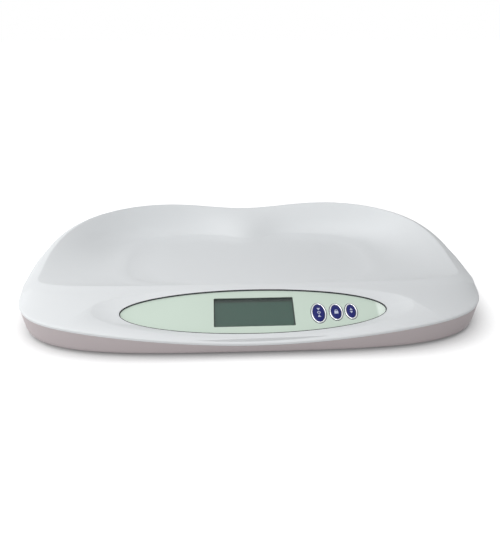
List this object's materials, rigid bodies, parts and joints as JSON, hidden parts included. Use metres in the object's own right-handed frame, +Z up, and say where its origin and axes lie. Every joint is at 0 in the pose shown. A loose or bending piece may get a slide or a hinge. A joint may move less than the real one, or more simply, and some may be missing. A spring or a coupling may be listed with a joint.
{
  "type": "digital baby weighing scale",
  "caption": "Low cradle-shaped infant scale with a wave-backed rim, sloping display panel, push buttons, battery door and weighing feet.",
  "frame": {"origin": "on the floor, under the middle of the object's box", "axes": "+X along the cradle to the button side, +Y from the display to the back, +Z up"},
  "size_m": [0.5596, 0.3255, 0.0847],
  "materials": {
    "shell_white": "satin moulded ABS",
    "base_grey": "satin moulded ABS, warm light grey",
    "overlay_green": "printed pale green film with a fine satin texture",
    "lens_clear": "clear acrylic",
    "display_dark": "dark grey-green unlit liquid crystal",
    "frame_black": "black moulded plastic",
    "strip_pink": "silicone contact strip",
    "board_green": "solder mask on glass fibre",
    "chip_black": "moulded epoxy",
    "button_navy": "glossy navy moulded plastic",
    "bezel_chrome": "bright plated",
    "steel": "zinc-plated and sprung steel",
    "rubber_grey": "matt rubber",
    "cell_jacket": "plain dark cell jacket",
    "lead_white": "insulated wire",
    "connector_cream": "moulded nylon"
  },
  "bodies": {
    "housing": {"tray_shell": "shell_white", "base_pan": "base_grey", "panel_overlay": "overlay_green", "display_lens": "lens_clear", "lcd_glass": "display_dark", "lcd_frame": "frame_black", "contact_strip": "strip_pink", "main_board": "board_green", "processor_chip": "chip_black", "buzzer": "chip_black", "lead_connector": "connector_cream", "board_screw_1": "steel", "board_screw_2": "steel", "board_screw_3": "steel", "tare_button_bezel": "bezel_chrome", "tare_button_switch": "chip_black", "hold_button_bezel": "bezel_chrome", "hold_button_switch": "chip_black", "unit_button_bezel": "bezel_chrome", "unit_button_switch": "chip_black", "foot_pad_front_left": "rubber_grey", "foot_housing_front_left": "base_grey", "load_plate_front_left": "steel", "foot_pad_front_right": "rubber_grey", "foot_housing_front_right": "base_grey", "load_plate_front_right": "steel", "foot_pad_rear_left": "rubber_grey", "foot_housing_rear_left": "base_grey", "load_plate_rear_left": "steel", "foot_pad_rear_right": "rubber_grey", "foot_housing_rear_right": "base_grey", "load_plate_rear_right": "steel", "battery_1": "cell_jacket", "battery_2": "cell_jacket", "battery_3": "cell_jacket", "battery_4": "cell_jacket", "contact_rear_left": "steel", "contact_rear_right": "steel", "contact_front_middle": "steel", "contact_front_plus": "steel", "contact_front_minus": "steel", "case_screw_1": "steel", "case_screw_2": "steel", "case_screw_3": "steel", "case_screw_4": "steel", "case_screw_5": "steel", "case_screw_6": "steel", "lead_front_left": "lead_white", "lead_front_right": "lead_white", "lead_rear_left": "lead_white", "lead_rear_right": "lead_white", "lead_battery": "lead_white"},
    "battery_door": {"battery_door": "base_grey"},
    "tare_button": {"tare_button": "button_navy", "tare_button_plunger": "connector_cream"},
    "hold_button": {"hold_button": "button_navy", "hold_button_plunger": "connector_cream"},
    "unit_button": {"unit_button": "button_navy", "unit_button_plunger": "connector_cream"}
  },
  "joints": [
    {"name": "tare_press", "type": "slide", "parent": "housing", "child": "tare_button", "axis": [0, 0.3907, -0.9205], "range_m": [0, 0.0006], "stiffness_N_per_m": 2000},
    {"name": "hold_press", "type": "slide", "parent": "housing", "child": "hold_button", "axis": [0, 0.3907, -0.9205], "range_m": [0, 0.0006], "stiffness_N_per_m": 2000},
    {"name": "unit_press", "type": "slide", "parent": "housing", "child": "unit_button", "axis": [0, 0.3907, -0.9205], "range_m": [0, 0.0006], "stiffness_N_per_m": 2000},
    {"name": "battery_door_hinge", "type": "hinge", "parent": "housing", "child": "battery_door", "pos_m": [0, 0.07355, 0.0058], "axis": [1, 0, 0], "range_deg": [0, 90]}
  ]
}
